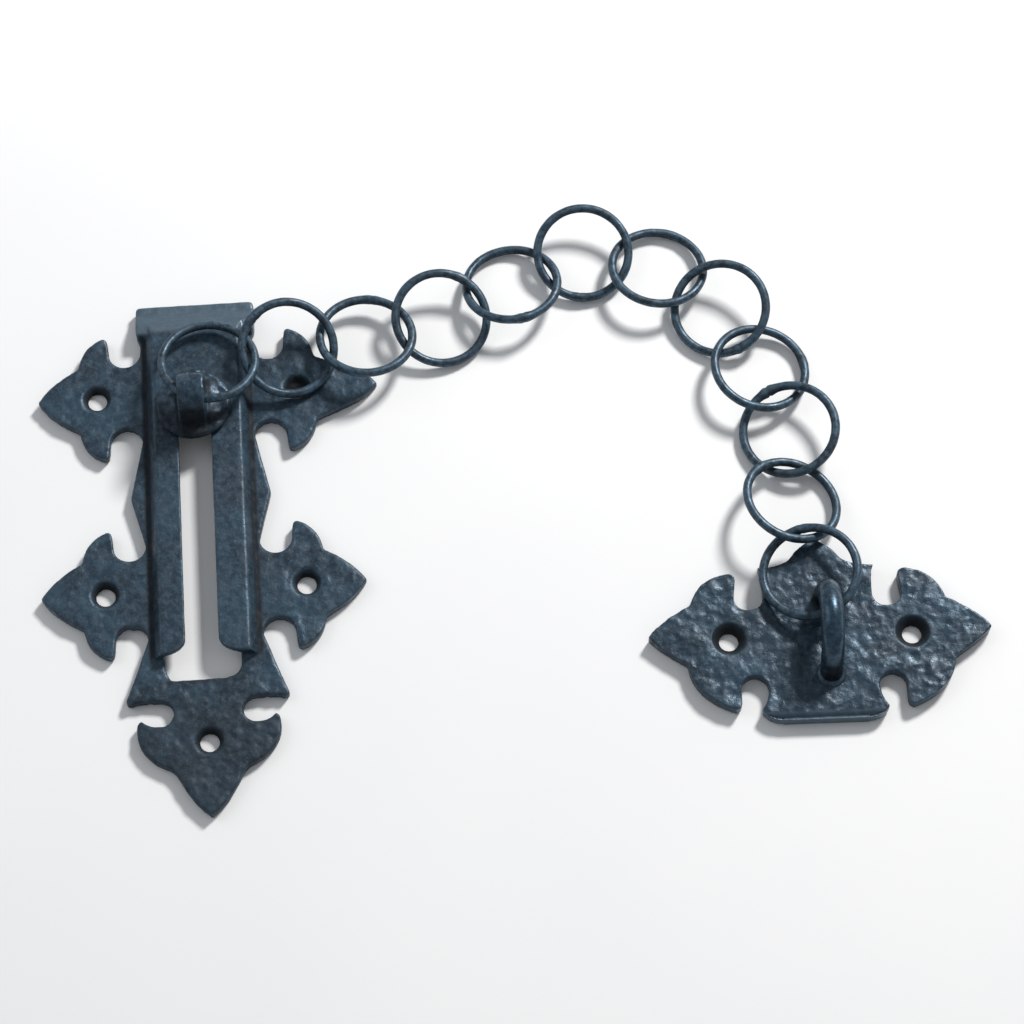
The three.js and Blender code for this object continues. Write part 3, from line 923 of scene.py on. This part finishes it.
class DoorChainSizes(bpy.types.PropertyGroup):
    """Sizes of the pieces"""

    track_thickness: length("Track thickness", "Thickness of the flat of the track plate", 0.003)
    channel_face: length("Channel face", "Height of the channel's face over the back", 0.0065)
    eye_thickness: length("Eye thickness", "Thickness of the stud's eye", 0.0072)
    ring_radius: length("Ring radius", "Radius of a ring to the middle of its wire", 0.0122)
    wire_radius: length("Wire radius", "Radius of the rings' wire", 0.0012)
    keeper_thickness: length("Keeper thickness", "Thickness of the keeper plate", 0.0035)
    staple_rod: length("Staple rod", "Radius of the staple's rod", 0.003)
    staple_span: length("Staple span", "Radius of the staple's bend", 0.0096)
    hammer_depth: length("Hammer depth", "Depth of the blows on the keeper plate", 0.00027)
    plate_grain: length("Track skin", "Size of the faces of the track plate's skin", 0.00043)
    keeper_grain: length("Keeper skin", "Size of the faces of the keeper plate's skin", 0.00034)
    stud_grain: length("Stud skin", "Size of the faces of the stud's skin", 0.00024)


class DoorChainColours(bpy.types.PropertyGroup):
    """Colours of the finishes and the floor"""

    # Painted shade in holes and corners, with some random darker patches.
    shade_and_soot: colour("Soot", "Soot in holes and corners", (0.002, 0.003, 0.005))
    # Painted shade in hollows.
    hollow_shade_iron: colour("Deep iron", "Iron in hollows", (0.006, 0.010, 0.016))
    iron_dark: colour("Dark iron", "Iron in its darker patches", (0.009, 0.022, 0.037))
    iron_mid: colour("Iron", "Iron in its lighter patches", (0.0195, 0.045, 0.072))
    iron_light: colour("Light iron", "Speckle on the iron", (0.045, 0.085, 0.123))
    # Painted light on sloped faces.
    slope_light_iron: colour("Polished iron", "Iron handled bright on sloped faces", (0.085, 0.125, 0.165))
    warm_iron: colour("Warm iron", "Faint warm bloom on the iron", (0.044, 0.053, 0.070))
    fleck: colour("Fleck", "Bright flecks on the iron", (0.12, 0.16, 0.20))
    # Worn edges with a painted highlight.
    edge_wear_and_highlight: colour("Rubbed edge", "Iron rubbed bright on edges", (0.17, 0.22, 0.26))
    floor: colour("Floor", "Pale floor", (0.86, 0.86, 0.86))
    floor_shade: colour("Floor shade", "Pale floor in its darker patches", (0.84, 0.84, 0.845))


class DoorChainView(bpy.types.PropertyGroup):
    """Where the camera stands"""

    aim: bpy.props.FloatVectorProperty(
        name="Aim", description="Point looked at, from the middle of the base", size=2,
        default=(0.00105, -0.0032), subtype="XYZ", unit="LENGTH", precision=5,
    )
    azimuth: bpy.props.FloatProperty(
        name="Azimuth", description="Turn of the view to the right of the depth axis",
        default=math.radians(3.9), subtype="ANGLE",
    )
    elevation: bpy.props.FloatProperty(
        name="Elevation", description="Height of the view over the floor",
        default=math.radians(66), subtype="ANGLE",
    )
    distance: length("Distance", "Distance of the camera from the point looked at", 0.917)
    lens: bpy.props.FloatProperty(
        name="Lens", description="Focal length in millimetres", default=123.8, min=1.0
    )


# --- operators and panel --------------------------------------------------------


class DOORCHAIN_OT_track_plate(bpy.types.Operator):
    """Builds the track plate with its slotted channel"""

    bl_idname = "door_chain.track_plate"
    bl_label = "Track Plate"

    def execute(self, context):
        scene = context.scene
        finish = iron_finish(
            "cast_iron", scene.door_chain_colours,
            gloss=0.44, metallic=0.35, wear_and_highlight=0.8, grain=0.5,
        )
        build_track_plate(scene.door_chain_sizes, finish)
        return {"FINISHED"}


class DOORCHAIN_OT_slider_stud(bpy.types.Operator):
    """Builds the sliding stud with its flange and eye"""

    bl_idname = "door_chain.slider_stud"
    bl_label = "Sliding Stud"

    def execute(self, context):
        scene = context.scene
        finish = iron_finish(
            "stud_iron", scene.door_chain_colours,
            gloss=0.38, metallic=0.45, wear_and_highlight=1.0, grain=0.4, bright=0.85,
        )
        build_slider_stud(scene.door_chain_sizes, finish)
        return {"FINISHED"}


class DOORCHAIN_OT_rings(bpy.types.Operator):
    """Builds the twelve linked rings of the chain"""

    bl_idname = "door_chain.rings"
    bl_label = "Chain Rings"

    def execute(self, context):
        scene = context.scene
        finish = iron_finish(
            "wire_iron", scene.door_chain_colours,
            gloss=0.42, metallic=0.42, wear_and_highlight=0.9, grain=0.3, bright=1.4,
        )
        for number in range(1, len(RING_CLOSURES) + 1):
            build_ring(number, scene.door_chain_sizes, finish)
        return {"FINISHED"}


class DOORCHAIN_OT_keeper_plate(bpy.types.Operator):
    """Builds the hammered keeper plate"""

    bl_idname = "door_chain.keeper_plate"
    bl_label = "Keeper Plate"

    def execute(self, context):
        scene = context.scene
        finish = iron_finish(
            "hammered_iron", scene.door_chain_colours,
            gloss=0.38, metallic=0.35, wear_and_highlight=0.6, grain=0.5, bright=0.45,
        )
        build_keeper_plate(scene.door_chain_sizes, finish)
        return {"FINISHED"}


class DOORCHAIN_OT_staple(bpy.types.Operator):
    """Builds the staple that holds the last ring"""

    bl_idname = "door_chain.staple"
    bl_label = "Staple"

    def execute(self, context):
        scene = context.scene
        finish = iron_finish(
            "rod_iron", scene.door_chain_colours,
            gloss=0.28, metallic=0.6, wear_and_highlight=0.6, grain=0.2, bright=0.9,
        )
        build_staple(scene.door_chain_sizes, finish)
        return {"FINISHED"}


class DOORCHAIN_OT_stage(bpy.types.Operator):
    """Builds the floor, the lights and the camera"""

    bl_idname = "door_chain.stage"
    bl_label = "Floor, Lights and Camera"

    def execute(self, context):
        scene = context.scene
        build_floor(scene.door_chain_colours)
        build_light("key", KEY_PLACE, size=0.24, energy=17.0, colour=(1.0, 0.99, 0.97))
        build_light("fill", FILL_PLACE, size=0.8, energy=1.6, colour=DAYLIGHT)
        world = scene.world or bpy.data.worlds.new("studio")
        scene.world = world
        world.use_nodes = True
        sky = world.node_tree.nodes["Background"]
        sky.inputs["Color"].default_value = (*DAYLIGHT, 1)
        sky.inputs["Strength"].default_value = 0.37
        scene.view_settings.view_transform = "Standard"
        build_camera(scene.door_chain_view)
        return {"FINISHED"}


class DOORCHAIN_PT_panel(bpy.types.Panel):
    """Lists the chain's pieces and the stage"""

    bl_label = "Door Chain"
    bl_idname = "DOORCHAIN_PT_panel"
    bl_space_type = "VIEW_3D"
    bl_region_type = "UI"
    bl_category = "Door Chain"

    def draw(self, context):
        for operator in OPERATORS:
            self.layout.operator(operator.bl_idname)
        for name in GROUPS:
            group = getattr(context.scene, name)
            box = self.layout.box()
            for prop in group.bl_rna.properties:
                if prop.identifier not in ("name", "rna_type"):
                    box.prop(group, prop.identifier)


OPERATORS = (
    DOORCHAIN_OT_stage,
    DOORCHAIN_OT_track_plate,
    DOORCHAIN_OT_slider_stud,
    DOORCHAIN_OT_rings,
    DOORCHAIN_OT_keeper_plate,
    DOORCHAIN_OT_staple,
)
GROUPS = {
    "door_chain_sizes": DoorChainSizes,
    "door_chain_colours": DoorChainColours,
    "door_chain_view": DoorChainView,
}
CLASSES = (*GROUPS.values(), *OPERATORS, DOORCHAIN_PT_panel)


def register():
    for cls in CLASSES:
        bpy.utils.register_class(cls)
    for name, group in GROUPS.items():
        setattr(bpy.types.Scene, name, bpy.props.PointerProperty(type=group))


def unregister():
    for name in GROUPS:
        delattr(bpy.types.Scene, name)
    for cls in reversed(CLASSES):
        bpy.utils.unregister_class(cls)


def main():
    register()
    bpy.ops.door_chain.stage()
    bpy.ops.door_chain.track_plate()
    bpy.ops.door_chain.slider_stud()
    bpy.ops.door_chain.rings()
    bpy.ops.door_chain.keeper_plate()
    bpy.ops.door_chain.staple()


if __name__ == "__main__":
    main()
